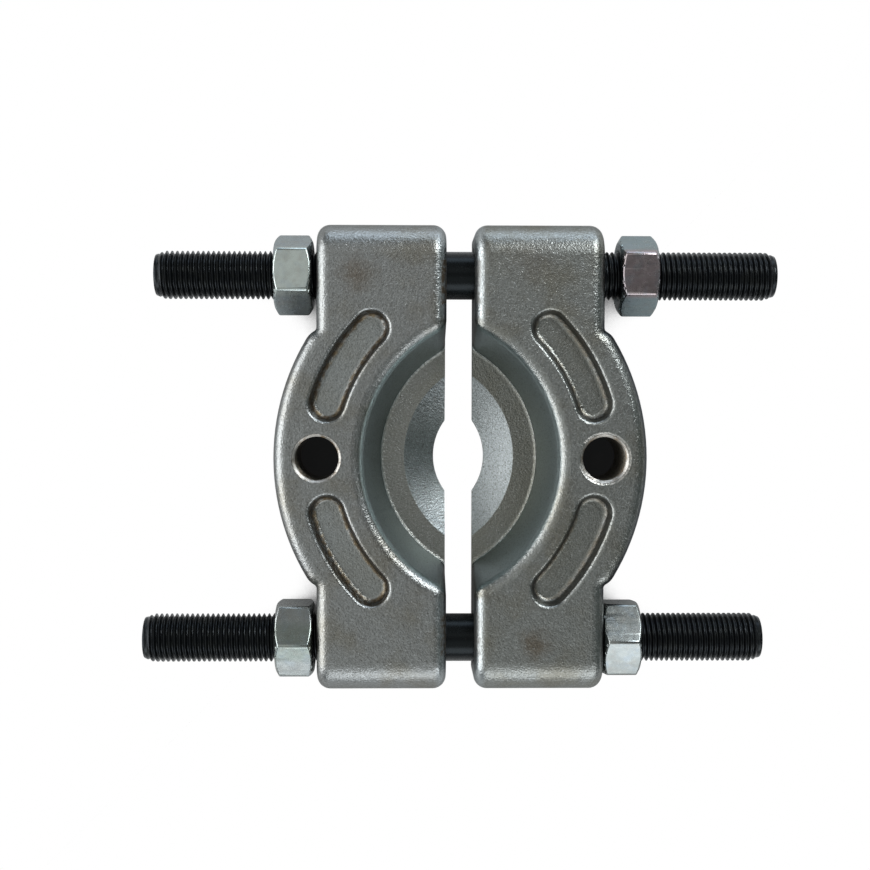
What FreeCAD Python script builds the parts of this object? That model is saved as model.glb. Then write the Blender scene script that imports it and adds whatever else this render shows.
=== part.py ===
import FreeCAD, Part
import Sketcher
import math
import os

# Bearing separator: two forged half plates with knife edges, drawn together
# on two studs by four hexagon nuts.
#
# Frame: millimetres, +Z up, the flat faces lie on Z = 0. X runs along the
# studs, and the origin is the middle of the gap between the halves.
# A half is drawn in a frame of its own: x = 0 is its split face, +x points
# outwards, and it is symmetric about y = 0. Both halves are the same forging,
# so the left one is the right one turned by 180 degrees about Z.

DOCUMENT = FreeCAD.newDocument("bearing_separator")
SHEET = "sizes"

# alias, value in mm or degrees, what it is
SIZES = [
    ("split_gap", 8.1, "distance between the two split faces at rest"),
    ("block_length", 30.5, "half: length of each end block, from the step outwards"),
    ("thickness", 25.0, "half: height of the forging"),
    ("block_width", 37.2, "half: split face to the outer face of the end blocks"),
    ("axis_offset", 17.0, "half: the bowl's axis lies this far past the split face"),
    ("flange_width", 25.0, "half: width of the curved flange round the bowl"),
    ("shoulder_width", 2.0, "half: step from the end block out to the flange"),
    ("shoulder_drop", 1.15, "half: how far that step falls back, along Y"),
    ("bowl_rim_radius", 41.5, "half: bowl wall at the top face"),
    ("land_radius", 36.0, "half: foot of the bowl wall"),
    ("cone_radius", 29.2, "half: inner edge of the flat land"),
    ("knife_radius", 20.5, "half: bowl's axis to the middle of the knife edge"),
    ("shaft_radius", 17.8, "half: opening for the shaft, whose foot is the knife edge"),
    ("land_height", 5.0, "half: height of the flat land"),
    ("knife_height", 0.9, "half: thickness left at the middle of the knife edge"),
    ("end_round", 9.0, "half: rounding of the top edge at both ends"),
    ("corner_round", 4.4, "half: rounding where the bowl wall meets the split face"),
    ("neck_round", 1.2, "half: hollow corner between end block and step"),
    ("shoulder_round", 6.0, "half: rounding between step and flange"),
    ("top_round", 3.8, "half: rounding along the top edges"),
    ("foot_round", 1.2, "half: hollow corner at the foot of the bowl wall"),
    ("base_round", 0.9, "half: rounding of the outer bottom edges"),
    ("pocket_inset", 0.6, "pocket: its centre line is this far inside the rim's middle"),
    ("pocket_start", 17.0, "pocket: angle of its first end"),
    ("pocket_end", 43.9, "pocket: angle of its second end"),
    ("pocket_width", 10.4, "pocket: width at the top face"),
    ("pocket_depth", 4.4, "pocket: depth"),
    ("pocket_draft", 12.0, "pocket: slope of its wall"),
    ("pocket_rim_round", 1.2, "pocket: rounding of its rim"),
    ("pocket_foot_round", 1.7, "pocket: hollow corner at its floor"),
    ("puller_hole_radius", 7.0, "puller hole: radius at the root of its thread"),
    ("puller_hole_chamfer", 0.1, "puller hole: chamfer at both mouths"),
    ("stud_edge", 14.2, "distance from a stud's axis to the end of its end block"),
    ("stud_length", 180.0, "stud: whole length"),
    ("stud_radius", 7.0, "stud: radius at the thread's crest"),
    ("shank_shrink", 0.05, "stud: how much thinner the plain shank is, in radius"),
    ("thread_length", 60.0, "stud: length of each thread"),
    ("thread_step", 0.4, "stud: length of the cone between thread and shank"),
    ("stud_tip_drop", 1.05, "stud: how far its ends are turned down, in radius"),
    ("stud_tip_length", 2.6, "stud: length of each turned end"),
    ("stud_shift", 1.8, "stud: rear one is shifted to +X, front one to -X"),
    ("stud_clearance", 0.6, "half: its stud holes are this much wider, in radius"),
    ("stud_hole_chamfer", 0.6, "half: chamfer at the mouths of the stud holes"),
    ("nut_flats", 20.7, "nut: width across its flats"),
    ("nut_height", 11.0, "nut: height"),
    ("nut_corner_round", 1.2, "nut: rounding of its six corners"),
    ("nut_face_radius", 9.7, "nut: radius of the flat end faces"),
    ("nut_chamfer_angle", 30.0, "nut: slope of the chamfer on the corners"),
    ("nut_clearance", 0.05, "nut: bore radius less the stud's crest radius"),
    ("nut_countersink", 0.6, "nut: chamfer at both mouths of the bore"),
    ("left_rear_standoff", 1.5, "nut: distance from the half, left rear"),
    ("left_front_standoff", 1.2, "nut: distance from the half, left front"),
    ("right_rear_standoff", 4.9, "nut: distance from the half, right rear"),
    ("right_front_standoff", 0.3, "nut: distance from the half, right front"),
    ("left_rear_turn", 55.0, "nut: turn about its axis at rest, left rear"),
    ("left_front_turn", 33.0, "nut: turn about its axis at rest, left front"),
    ("right_rear_turn", 0.5, "nut: turn about its axis at rest, right rear"),
    ("right_front_turn", 28.5, "nut: turn about its axis at rest, right front"),
    ("overrun", 1.0, "how far a cutting section runs past what it cuts"),
]


def make_sheet():
    """Put every driving size in one sheet: name, value and meaning."""
    sheet = DOCUMENT.addObject("Spreadsheet::Sheet", SHEET)
    for row, (alias, value, meaning) in enumerate(SIZES, start=1):
        sheet.set(f"A{row}", alias)
        sheet.set(f"B{row}", str(value))
        sheet.set(f"C{row}", meaning)
        sheet.setAlias(f"B{row}", alias)
    DOCUMENT.recompute()
    return sheet


sheet = make_sheet()

# Distances that follow from the sizes, as expressions on the sheet's cells.
FLANGE_RADIUS = "( bowl_rim_radius + flange_width )"
FLANGE_END = (
    f"sqrt( {FLANGE_RADIUS} ^ 2 - "
    "( block_width + shoulder_width + axis_offset ) ^ 2 )"
)
HALF_REACH = f"( {FLANGE_END} + shoulder_drop + block_length )"
STUD_REACH = f"( {FLANGE_END} + shoulder_drop + block_length - stud_edge )"
RIM_MIDDLE = "( bowl_rim_radius + flange_width / 2 )"
POCKET_RADIUS = f"( {RIM_MIDDLE} - pocket_inset )"
HOLE_REACH = f"( {RIM_MIDDLE} - axis_offset )"


def size(alias):
    """The number that a cell of the sheet holds."""
    return float(sheet.get(alias))


def cells(expression):
    """An expression on cells, with each size's name led by the sheet's."""
    words = []
    for word in expression.split():
        known = any(word == alias for alias, _, _ in SIZES)
        words.append(f"{SHEET}.{word}" if known else word)
    return " ".join(words)


def value(expression):
    """The number that an expression on cells comes to."""
    return float(sheet.evalExpression(expression))


def bind(feature, **expressions):
    """Bind properties of a feature to the sheet."""
    for name, expression in expressions.items():
        feature.setExpression(name, cells(expression))


def origin_plane(body, role):
    for item in body.Origin.OriginFeatures:
        if item.Role == role:
            return item
    raise ValueError(f"no origin feature {role}")


class Drawing:
    """A sketch on an origin plane, with lines, arcs and bound sizes."""

    def __init__(self, body, name, role, height=None):
        self.sketch = body.newObject("Sketcher::SketchObject", name)
        self.sketch.AttachmentSupport = [(origin_plane(body, role), "")]
        self.sketch.MapMode = "FlatFace"
        if height:
            self.sketch.setExpression("AttachmentOffset.Base.z", cells(height))

    def line(self, start, end, construction=False):
        segment = Part.LineSegment(FreeCAD.Vector(*start, 0), FreeCAD.Vector(*end, 0))
        return self.sketch.addGeometry(segment, construction)

    def polygon(self, points):
        """Closed run of lines, joined end to start. Returns their numbers."""
        ends = points[1:] + points[:1]
        lines = [self.line(start, end) for start, end in zip(points, ends)]
        for first, second in zip(lines, lines[1:] + lines[:1]):
            self.join(first, END, second, START)
        return lines

    def circle(self, centre, radius):
        curve = Part.Circle(
            FreeCAD.Vector(*centre, 0), FreeCAD.Vector(0, 0, 1), radius
        )
        return self.sketch.addGeometry(curve, False)

    def arc(self, centre, radius, start, end):
        """Arc from start to end, in degrees, counter-clockwise."""
        curve = Part.Circle(
            FreeCAD.Vector(*centre, 0), FreeCAD.Vector(0, 0, 1), radius
        )
        piece = Part.ArcOfCircle(curve, math.radians(start), math.radians(end))
        return self.sketch.addGeometry(piece, False)

    def rule(self, *what):
        return self.sketch.addConstraint(Sketcher.Constraint(*what))

    def join(self, first, first_end, second, second_end):
        self.rule("Coincident", first, first_end, second, second_end)

    def length(self, expression, value, kind, *what):
        """A driving size, bound to the sheet."""
        number = self.rule(kind, *what, value)
        self.sketch.setExpression(f"Constraints[{number}]", cells(expression))


# How a sketch counts its own axes, and the points of a line or arc.
X_AXIS, Y_AXIS = range(-1, -3, -1)
START, END, CENTRE = range(1, 4)
ORIGIN = (X_AXIS, START)


def feature(body, kind, name, **properties):
    """Add a PartDesign feature to a body and set its properties."""
    made = body.newObject(f"PartDesign::{kind}", name)
    for key, value in properties.items():
        setattr(made, key, value)
    return made


def edges_where(solid_feature, test):
    """Names of the edges of a feature's shape that pass a test."""
    found = []
    for number, edge in enumerate(solid_feature.Shape.Edges, start=1):
        if test(edge):
            found.append(f"Edge{number}")
    return found


def dress(body, kind, name, base, test, radius):
    """Fillet or Chamfer on the edges of base that pass a test."""
    names = edges_where(base, test)
    if not names:
        raise ValueError(f"{name} finds no edge")
    made = feature(body, kind, name, Base=(base, names))
    made.setExpression("Radius" if kind == "Fillet" else "Size", cells(radius))
    DOCUMENT.recompute()
    return made


def middle(edge):
    """A point half way along an edge."""
    first, last = edge.ParameterRange
    return edge.valueAt((first + last) / 2)


def near(a, b, slack=1e-4):
    return abs(a - b) < slack


def is_upright(edge):
    """A straight edge along Z."""
    if edge.Curve.TypeId != "Part::GeomLine":
        return False
    return abs(edge.Curve.Direction.z) > 0.999


def ends_at(edge, test):
    return all(test(vertex.Point) for vertex in edge.Vertexes)


# The half plate, seen from above: two end blocks joined by a curved flange.
def draw_outline(body):
    block, width = size("block_length"), size("block_width")
    offset, radius = size("axis_offset"), value(FLANGE_RADIUS)
    step, drop = size("shoulder_width"), size("shoulder_drop")
    reach, half = value(FLANGE_END), value(HALF_REACH)
    neck = reach + drop
    angle = math.degrees(math.asin(reach / radius))
    drawing = Drawing(body, "half_outline", "XY_Plane")
    front = drawing.line((0, -half), (width, -half))
    front_side = drawing.line((width, -half), (width, -neck))
    front_step = drawing.line((width, -neck), (width + step, -reach))
    flange = drawing.arc((-offset, 0), radius, -angle, angle)
    rear_step = drawing.line((width + step, reach), (width, neck))
    rear_side = drawing.line((width, neck), (width, half))
    rear = drawing.line((width, half), (0, half))
    split = drawing.line((0, half), (0, -half))
    chain = [front, front_side, front_step, flange]
    chain += [rear_step, rear_side, rear, split]
    for first, second in zip(chain, chain[1:] + chain[:1]):
        drawing.join(first, END, second, START)
    for number in (front, rear):
        drawing.rule("Horizontal", number)
    for number in (front_side, rear_side):
        drawing.rule("Vertical", number)
    drawing.rule("PointOnObject", split, START, Y_AXIS)
    drawing.rule("Symmetric", split, START, split, END, *ORIGIN)
    drawing.rule("Equal", front, rear)
    drawing.rule("PointOnObject", flange, CENTRE, X_AXIS)
    for side in (front_side, rear_side):
        drawing.length("block_length", block, "DistanceY", side, START, side, END)
    drawing.length("block_width", width, "DistanceX", front, START, front, END)
    drawing.length("axis_offset", offset, "DistanceX", flange, CENTRE, *ORIGIN)
    drawing.length(FLANGE_RADIUS, radius, "Radius", flange)
    for end, corner in (((flange, START), (front_side, END)), ((flange, END), (rear_side, START))):
        drawing.length("shoulder_width", step, "DistanceX", *corner, *end)
    drawing.length("shoulder_drop", drop, "DistanceY", front_side, END, flange, START)
    return drawing.sketch


# The bowl's section, turned about the bowl's axis: wall, land and the cone that
# runs down to the knife edge and on below the flat face.
def draw_bowl(body):
    offset, top = size("axis_offset"), size("thickness")
    land, knife = size("land_height"), size("knife_height")
    overrun, cone_radius = size("overrun"), size("cone_radius")
    cone_slope = (cone_radius - size("knife_radius")) / (land - knife)
    slope = (size("bowl_rim_radius") - size("land_radius")) / (top - land)
    over = top + overrun
    heights = [-overrun, -overrun, land, land, over, over]
    radii = [
        0,
        cone_radius - cone_slope * (land + overrun),
        cone_radius,
        size("land_radius"),
        size("bowl_rim_radius") + slope * overrun,
        0,
    ]
    drawing = Drawing(body, "bowl_section", "XZ_Plane")
    axis = drawing.line((-offset, 0), (-offset, top), construction=True)
    points = [(radius - offset, height) for radius, height in zip(radii, heights)]
    lines = drawing.polygon(points)
    base, cone, floor, wall, lid, core = lines
    drawing.rule("Vertical", axis)
    drawing.rule("PointOnObject", axis, START, X_AXIS)
    drawing.rule("PointOnObject", base, START, axis)
    drawing.rule("PointOnObject", core, START, axis)
    for number in (base, floor, lid):
        drawing.rule("Horizontal", number)
    drawing.length("axis_offset", offset, "DistanceX", axis, START, *ORIGIN)
    drawing.length("thickness", top, "DistanceY", axis, START, axis, END)
    drawing.length("land_height", land, "DistanceY", *ORIGIN, floor, START)
    cone_foot = (
        "cone_radius - ( cone_radius - knife_radius ) / "
        "( land_height - knife_height ) * ( land_height + overrun )"
    )
    drawing.length(cone_foot, radii[1], "DistanceX", base, START, base, END)
    drawing.length("cone_radius", radii[2], "DistanceX", axis, START, cone, END)
    drawing.length("land_radius", radii[3], "DistanceX", axis, START, floor, END)
    over_rim = (
        "bowl_rim_radius + ( bowl_rim_radius - land_radius ) / "
        "( thickness - land_height ) * overrun"
    )
    drawing.length(over_rim, radii[4], "DistanceX", axis, START, wall, END)
    drawing.length("thickness + overrun", over, "DistanceY", *ORIGIN, wall, END)
    drawing.length("overrun", overrun, "DistanceY", base, START, *ORIGIN)
    return drawing.sketch


# One pocket: a slot bent about the bowl's axis.
def draw_pocket(body):
    offset, radius = size("axis_offset"), value(POCKET_RADIUS)
    width, start, end = size("pocket_width"), size("pocket_start"), size("pocket_end")
    centre = (-offset, 0)

    def at(angle):
        turn = math.radians(angle)
        return (radius * math.cos(turn) - offset, radius * math.sin(turn))

    drawing = Drawing(body, "pocket_outline", "XY_Plane", "thickness")
    outer = drawing.arc(centre, radius + width / 2, start, end)
    far_cap = drawing.arc(at(end), width / 2, end, end + 180)
    inner = drawing.arc(centre, radius - width / 2, start, end)
    near_cap = drawing.arc(at(start), width / 2, start + 180, start + 360)
    first_ray = drawing.line(centre, at(start), construction=True)
    second_ray = drawing.line(centre, at(end), construction=True)
    drawing.rule("Tangent", outer, END, far_cap, START)
    drawing.rule("Tangent", far_cap, END, inner, END)
    drawing.rule("Tangent", inner, START, near_cap, START)
    drawing.rule("Tangent", near_cap, END, outer, START)
    drawing.rule("PointOnObject", outer, CENTRE, X_AXIS)
    drawing.join(inner, CENTRE, outer, CENTRE)
    for ray, cap in ((first_ray, near_cap), (second_ray, far_cap)):
        drawing.join(ray, START, outer, CENTRE)
        drawing.join(ray, END, cap, CENTRE)
    drawing.length("axis_offset", offset, "DistanceX", outer, CENTRE, *ORIGIN)
    for sign, arc in (("+", outer), ("-", inner)):
        wall = f"{POCKET_RADIUS} {sign} pocket_width / 2"
        drawing.length(wall, value(wall), "Radius", arc)
    for alias, angle, ray in (
        ("pocket_start", start, first_ray),
        ("pocket_end", end, second_ray),
    ):
        ends = (X_AXIS, START, ray, START)
        drawing.length(alias, math.radians(angle), "Angle", *ends)
    return drawing.sketch


def make_half(label, side):
    """One forging. side is +1 for the right half and -1 for the left one."""
    body = DOCUMENT.addObject("PartDesign::Body", label)
    pad = feature(body, "Pad", "blank", Profile=draw_outline(body))
    bind(pad, Length="thickness")
    bowl = feature(body, "Groove", "bowl", Profile=draw_bowl(body))
    bowl.ReferenceAxis = (bowl.Profile[0], ["Axis0"])
    bowl.Angle = 360
    round_forging(body, cut_shaft_opening(body))
    cut_pockets(body)
    drill_puller_hole(body)
    body.Tip = drill_stud_holes(body)
    turn = 0 if side > 0 else 180
    body.Placement.Rotation = FreeCAD.Rotation(FreeCAD.Vector(0, 0, 1), turn)
    body.setExpression("Placement.Base.x", cells(f"{side} * split_gap / 2"))
    return body


def cut_shaft_opening(body):
    """The opening that the shaft passes through. Its foot is the knife edge."""
    radius = size("shaft_radius")
    reach = radius + size("axis_offset") - size("knife_radius")
    drawing = Drawing(body, "shaft_circle", "XY_Plane", "thickness")
    circle = drawing.circle((-reach, 0), radius)
    drawing.rule("PointOnObject", circle, CENTRE, X_AXIS)
    behind_split = "shaft_radius + axis_offset - knife_radius"
    drawing.length(behind_split, reach, "DistanceX", circle, CENTRE, *ORIGIN)
    drawing.length("shaft_radius", radius, "Radius", circle)
    opening = feature(body, "Pocket", "shaft_opening", Profile=drawing.sketch)
    opening.Type = "ThroughAll"
    DOCUMENT.recompute()
    return opening


def round_forging(body, base):
    """The forging's roundings: ends first, then hollow corners, then the rims."""
    top, half = size("thickness"), value(HALF_REACH)
    width, offset = size("block_width"), size("axis_offset")
    rim, land = size("bowl_rim_radius"), size("land_height")
    step = size("shoulder_width")

    def is_end(edge):
        return ends_at(edge, lambda p: near(p.z, top) and near(abs(p.y), half))

    def is_neck(edge):
        inside = abs(middle(edge).y) < half - 1
        return is_upright(edge) and near(middle(edge).x, width) and inside

    def is_shoulder(edge):
        return is_upright(edge) and near(middle(edge).x, width + step)

    def is_bowl_corner(edge):
        ends = sorted(vertex.Point.z for vertex in edge.Vertexes)
        on_split = ends_at(edge, lambda p: near(p.x, 0))
        return on_split and near(ends[0], land) and near(ends[-1], top)

    def is_foot(edge):
        circle = edge.Curve.TypeId == "Part::GeomCircle"
        return circle and near(middle(edge).z, land) and near(
            edge.Curve.Radius, size("land_radius")
        )

    def is_rim(edge):
        """Top edges, and the corners of the end blocks that run up to them."""
        point = middle(edge)
        flat = ends_at(edge, lambda p: near(p.z, top))
        end_arc = edge.Curve.TypeId == "Part::GeomCircle" and near(
            edge.Curve.Radius, size("end_round")
        )
        corner = is_upright(edge) and near(abs(point.y), half)
        across = flat and near(abs(point.y), half - size("end_round"))
        return (flat and not across) or end_arc or corner

    def is_base(edge):
        """Bottom edges, apart from those of the split face and the knife edge."""
        point = middle(edge)
        distance = math.hypot(point.x + offset, point.y)
        outside = distance > value(RIM_MIDDLE) or abs(point.y) > rim
        return ends_at(edge, lambda p: near(p.z, 0)) and point.x > 1 and outside

    solid = dress(body, "Fillet", "ends_rounded", base, is_end, "end_round")
    solid = dress(body, "Fillet", "necks_rounded", solid, is_neck, "neck_round")
    solid = dress(
        body, "Fillet", "shoulders_rounded", solid, is_shoulder, "shoulder_round"
    )
    solid = dress(
        body, "Fillet", "bowl_corners_rounded", solid, is_bowl_corner, "corner_round"
    )
    solid = dress(body, "Fillet", "bowl_foot_rounded", solid, is_foot, "foot_round")
    solid = dress(body, "Fillet", "rims_rounded", solid, is_rim, "top_round")
    dress(body, "Fillet", "base_rounded", solid, is_base, "base_round")


def cut_pockets(body):
    """Two lightening pockets in the flange, one each side of the puller hole."""
    top, depth = size("thickness"), size("pocket_depth")
    pocket = feature(body, "Pocket", "pocket", Profile=draw_pocket(body))
    bind(pocket, Length="pocket_depth", TaperAngle="- pocket_draft")
    DOCUMENT.recompute()
    pair = body.newObject("PartDesign::Mirrored", "pocket_pair")
    pair.Originals = [pocket]
    pair.MirrorPlane = (origin_plane(body, "XZ_Plane"), [""])
    body.Tip = pair
    DOCUMENT.recompute()

    def in_pocket(point):
        distance = math.hypot(point.x + size("axis_offset"), point.y)
        return abs(distance - value(POCKET_RADIUS)) < size("pocket_width") * 0.6

    def is_floor(edge):
        return ends_at(edge, lambda p: near(p.z, top - depth) and in_pocket(p))

    def is_rim(edge):
        return ends_at(edge, lambda p: near(p.z, top) and in_pocket(p))

    solid = dress(
        body, "Fillet", "pocket_floors_rounded", pair, is_floor, "pocket_foot_round"
    )
    dress(body, "Fillet", "pocket_rims_rounded", solid, is_rim, "pocket_rim_round")


def drill_puller_hole(body):
    """The tapped hole in the flange's middle, with a chamfer at each mouth."""
    radius, reach = size("puller_hole_radius"), value(HOLE_REACH)
    drawing = Drawing(body, "puller_hole_circle", "XY_Plane", "thickness")
    circle = drawing.circle((reach, 0), radius)
    drawing.rule("PointOnObject", circle, CENTRE, X_AXIS)
    drawing.length(HOLE_REACH, reach, "DistanceX", *ORIGIN, circle, CENTRE)
    drawing.length("puller_hole_radius", radius, "Radius", circle)
    hole = feature(body, "Pocket", "puller_hole", Profile=drawing.sketch)
    hole.Type = "ThroughAll"
    DOCUMENT.recompute()

    def is_mouth(edge):
        circle_edge = edge.Curve.TypeId == "Part::GeomCircle"
        return circle_edge and near(edge.Curve.Radius, radius) and near(
            edge.Curve.Center.x, reach
        )

    dress(body, "Chamfer", "puller_hole_mouths", hole, is_mouth, "puller_hole_chamfer")


def drill_stud_holes(body):
    """Two plain holes along X through the end blocks, for the studs."""
    radius = size("stud_radius") + size("stud_clearance")
    stud, height = value(STUD_REACH), size("thickness") / 2
    drawing = Drawing(body, "stud_hole_circles", "YZ_Plane")
    for side in (-1, 1):
        circle = drawing.circle((side * stud, height), radius)
        ends = (*ORIGIN, circle, CENTRE) if side > 0 else (circle, CENTRE, *ORIGIN)
        drawing.length(STUD_REACH, stud, "DistanceX", *ends)
        drawing.length("thickness / 2", height, "DistanceY", *ORIGIN, circle, CENTRE)
        drawing.length("stud_radius + stud_clearance", radius, "Radius", circle)
    holes = feature(body, "Pocket", "stud_holes", Profile=drawing.sketch)
    holes.Type = "ThroughAll"
    holes.Reversed = True
    DOCUMENT.recompute()

    def is_mouth(edge):
        circle_edge = edge.Curve.TypeId == "Part::GeomCircle"
        return circle_edge and near(edge.Curve.Radius, radius) and near(
            abs(edge.Curve.Axis.x), 1
        )

    return dress(
        body, "Chamfer", "stud_hole_mouths", holes, is_mouth, "stud_hole_chamfer"
    )


def make_stud(label, side):
    """One stud along X, threaded at both ends. side is +1 for the rear one."""
    half, crest = size("stud_length") / 2, size("stud_radius")
    tip = crest - size("stud_tip_drop")
    shank = crest - size("shank_shrink")
    thread_end = half - size("thread_length")
    shank_end = thread_end - size("thread_step")
    body = DOCUMENT.addObject("PartDesign::Body", label)
    drawing = Drawing(body, "stud_section", "XY_Plane")
    points = [(0, 0), (half, 0), (half, tip), (half - size("stud_tip_length"), crest)]
    points += [(thread_end, crest), (shank_end, shank), (0, shank)]
    axis, end_face, chamfer, crest_line, step, shank_line, middle_line = (
        drawing.polygon(points)
    )
    drawing.join(axis, START, *ORIGIN)
    for number in (axis, crest_line, shank_line):
        drawing.rule("Horizontal", number)
    for number in (end_face, middle_line):
        drawing.rule("Vertical", number)
    drawing.length("stud_length / 2", half, "DistanceX", axis, START, axis, END)
    drawing.length(
        "stud_radius - stud_tip_drop", tip, "DistanceY", end_face, START, end_face, END
    )
    drawing.length("stud_radius", crest, "DistanceY", axis, START, crest_line, END)
    drawing.length(
        "stud_tip_length", size("stud_tip_length"), "DistanceX", chamfer, END, chamfer, START
    )
    drawing.length(
        "thread_length", size("thread_length"), "DistanceX", step, START, axis, END
    )
    drawing.length(
        "thread_step", size("thread_step"), "DistanceX", step, END, step, START
    )
    drawing.length(
        "stud_radius - shank_shrink", shank, "DistanceY", axis, START, step, END
    )
    turned = feature(body, "Revolution", "stud_half", Profile=drawing.sketch)
    turned.ReferenceAxis = (drawing.sketch, ["H_Axis"])
    turned.Angle = 360
    DOCUMENT.recompute()
    whole = body.newObject("PartDesign::Mirrored", "stud_whole")
    whole.Originals = [turned]
    whole.MirrorPlane = (origin_plane(body, "YZ_Plane"), [""])
    body.Tip = whole
    body.setExpression("Placement.Base.x", cells(f"{side} * stud_shift"))
    body.setExpression("Placement.Base.y", cells(f"{side} * {STUD_REACH}"))
    body.setExpression("Placement.Base.z", cells("thickness / 2"))
    return body


def make_nut(label, side, row):
    """One hexagon nut. side is +1 on the right, row is rear or front."""
    place = "right" if side > 0 else "left"
    corner = size("nut_flats") / math.sqrt(3)
    body = DOCUMENT.addObject("PartDesign::Body", label)
    blank = feature(body, "Pad", "nut_blank", Profile=draw_hexagon(body, corner))
    bind(blank, Length="nut_height")
    DOCUMENT.recompute()

    def is_corner(edge):
        straight = edge.Curve.TypeId == "Part::GeomLine"
        return straight and abs(edge.Curve.Direction.x) > 0.999

    dress(body, "Fillet", "nut_corners_rounded", blank, is_corner, "nut_corner_round")
    section = draw_chamfers(body, corner)
    chamfers = feature(body, "Groove", "nut_chamfers", Profile=section)
    chamfers.ReferenceAxis = (section, ["H_Axis"])
    chamfers.Angle = 360
    DOCUMENT.recompute()
    bore_radius = size("stud_radius") + size("nut_clearance")
    drawing = Drawing(body, "nut_bore_circle", "YZ_Plane")
    circle = drawing.circle((0, 0), bore_radius)
    drawing.join(circle, CENTRE, *ORIGIN)
    drawing.length("stud_radius + nut_clearance", bore_radius, "Radius", circle)
    bore = feature(body, "Pocket", "nut_bore", Profile=drawing.sketch)
    bore.Type = "ThroughAll"
    bore.Reversed = True
    DOCUMENT.recompute()

    def is_mouth(edge):
        circle_edge = edge.Curve.TypeId == "Part::GeomCircle"
        return circle_edge and near(edge.Curve.Radius, bore_radius)

    body.Tip = dress(
        body, "Chamfer", "nut_mouths", bore, is_mouth, "nut_countersink"
    )
    place_nut(body, side, row, f"{place}_{row}")
    return body


def place_nut(body, side, row, name):
    """Seat a nut on its stud, at its distance from the half and its turn."""
    across = 1 if row == "rear" else -1
    reach = f"split_gap / 2 + block_width + {name}_standoff"
    if side < 0:
        reach = f"- ( {reach} + nut_height )"
    body.Placement.Rotation = FreeCAD.Rotation(FreeCAD.Vector(1, 0, 0), 1)
    body.setExpression("Placement.Rotation.Angle", cells(f"{name}_turn * 1 deg"))
    body.setExpression("Placement.Base.x", cells(reach))
    body.setExpression("Placement.Base.y", cells(f"{across} * {STUD_REACH}"))
    body.setExpression("Placement.Base.z", cells("thickness / 2"))


def draw_hexagon(body, corner):
    """A regular hexagon about the nut's axis, with two flats level."""
    drawing = Drawing(body, "nut_hexagon", "YZ_Plane")
    corners = []
    for number in range(6):
        angle = math.radians(60 * number)
        corners.append((corner * math.cos(angle), corner * math.sin(angle)))
    lines = drawing.polygon(corners)
    guide = drawing.sketch.addGeometry(
        Part.Circle(FreeCAD.Vector(0, 0, 0), FreeCAD.Vector(0, 0, 1), corner), True
    )
    drawing.join(guide, CENTRE, *ORIGIN)
    for line in lines:
        drawing.rule("PointOnObject", line, START, guide)
    for line in lines[1:]:
        drawing.rule("Equal", lines[0], line)
    drawing.rule("PointOnObject", lines[0], START, X_AXIS)
    drawing.length("nut_flats / sqrt(3)", corner, "Radius", guide)
    return drawing.sketch


def draw_chamfers(body, corner):
    """Two triangles that are turned off the nut's corners, one at each end."""
    face, height = size("nut_face_radius"), size("nut_height")
    outside = corner + size("overrun")
    run = (outside - face) * math.tan(math.radians(size("nut_chamfer_angle")))
    depth = (
        "( nut_flats / sqrt(3) + overrun - nut_face_radius ) "
        "* tan( nut_chamfer_angle * 1 deg )"
    )
    drawing = Drawing(body, "nut_chamfer_sections", "XY_Plane")
    for end, inward in ((0, 1), (height, -1)):
        points = [(end, face), (end, outside), (end + inward * run, outside)]
        face_line, top_line, slope = drawing.polygon(points)
        drawing.rule("Vertical", face_line)
        drawing.rule("Horizontal", top_line)
        if end:
            drawing.length("nut_height", end, "DistanceX", *ORIGIN, face_line, START)
        else:
            drawing.rule("PointOnObject", face_line, START, Y_AXIS)
        drawing.length("nut_face_radius", face, "DistanceY", *ORIGIN, face_line, START)
        drawing.length(
            "nut_flats / sqrt(3) + overrun", outside, "DistanceY", *ORIGIN, face_line, END
        )
        ends = (top_line, START, top_line, END)
        if inward < 0:
            ends = (top_line, END, top_line, START)
        drawing.length(depth, run, "DistanceX", *ends)
    return drawing.sketch


def check(bodies):
    """Stop if any object failed, or any sub-part is not one valid solid."""
    for item in DOCUMENT.Objects:
        if "Invalid" in item.State or "Error" in item.State:
            raise RuntimeError(f"{item.Name} failed: {item.State}")
    for body in bodies:
        shape = body.Shape
        if shape.isNull() or not shape.isValid() or len(shape.Solids) != 1:
            raise RuntimeError(f"{body.Label} is not one valid solid")


def export(bodies):
    os.makedirs("parts", exist_ok=True)
    for body in bodies:
        body.Shape.exportStep(f"parts/{body.Label}.step")
        box = body.Shape.optimalBoundingBox(False)
        print(
            f"{body.Label}: {body.Shape.Volume / 1000:.2f} cm3, "
            f"x {box.XMin:.2f} to {box.XMax:.2f}, y {box.YMin:.2f} to {box.YMax:.2f}, "
            f"z {box.ZMin:.2f} to {box.ZMax:.2f}"
        )


def main():
    bodies = [make_half("half_left", -1), make_half("half_right", 1)]
    bodies += [make_stud("stud_rear", 1), make_stud("stud_front", -1)]
    for side, place in ((-1, "left"), (1, "right")):
        for row in ("rear", "front"):
            bodies.append(make_nut(f"nut_{place}_{row}", side, row))
    DOCUMENT.recompute()
    check(bodies)
    export(bodies)


main()
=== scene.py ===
# %% [markdown]
# # A bearing separator on a white table
# The tool pulls bearings off shafts. Two forged half plates with a knife edge are
# drawn together behind the bearing by four nuts on two long studs.
# The solids come from CAD and stay as they are. Blender adds what CAD leaves out:
# the thread that is cut into the studs and the puller holes, and the finish of
# three steels, which are shot-blasted forging, zinc plate and black oxide.

import math

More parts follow.
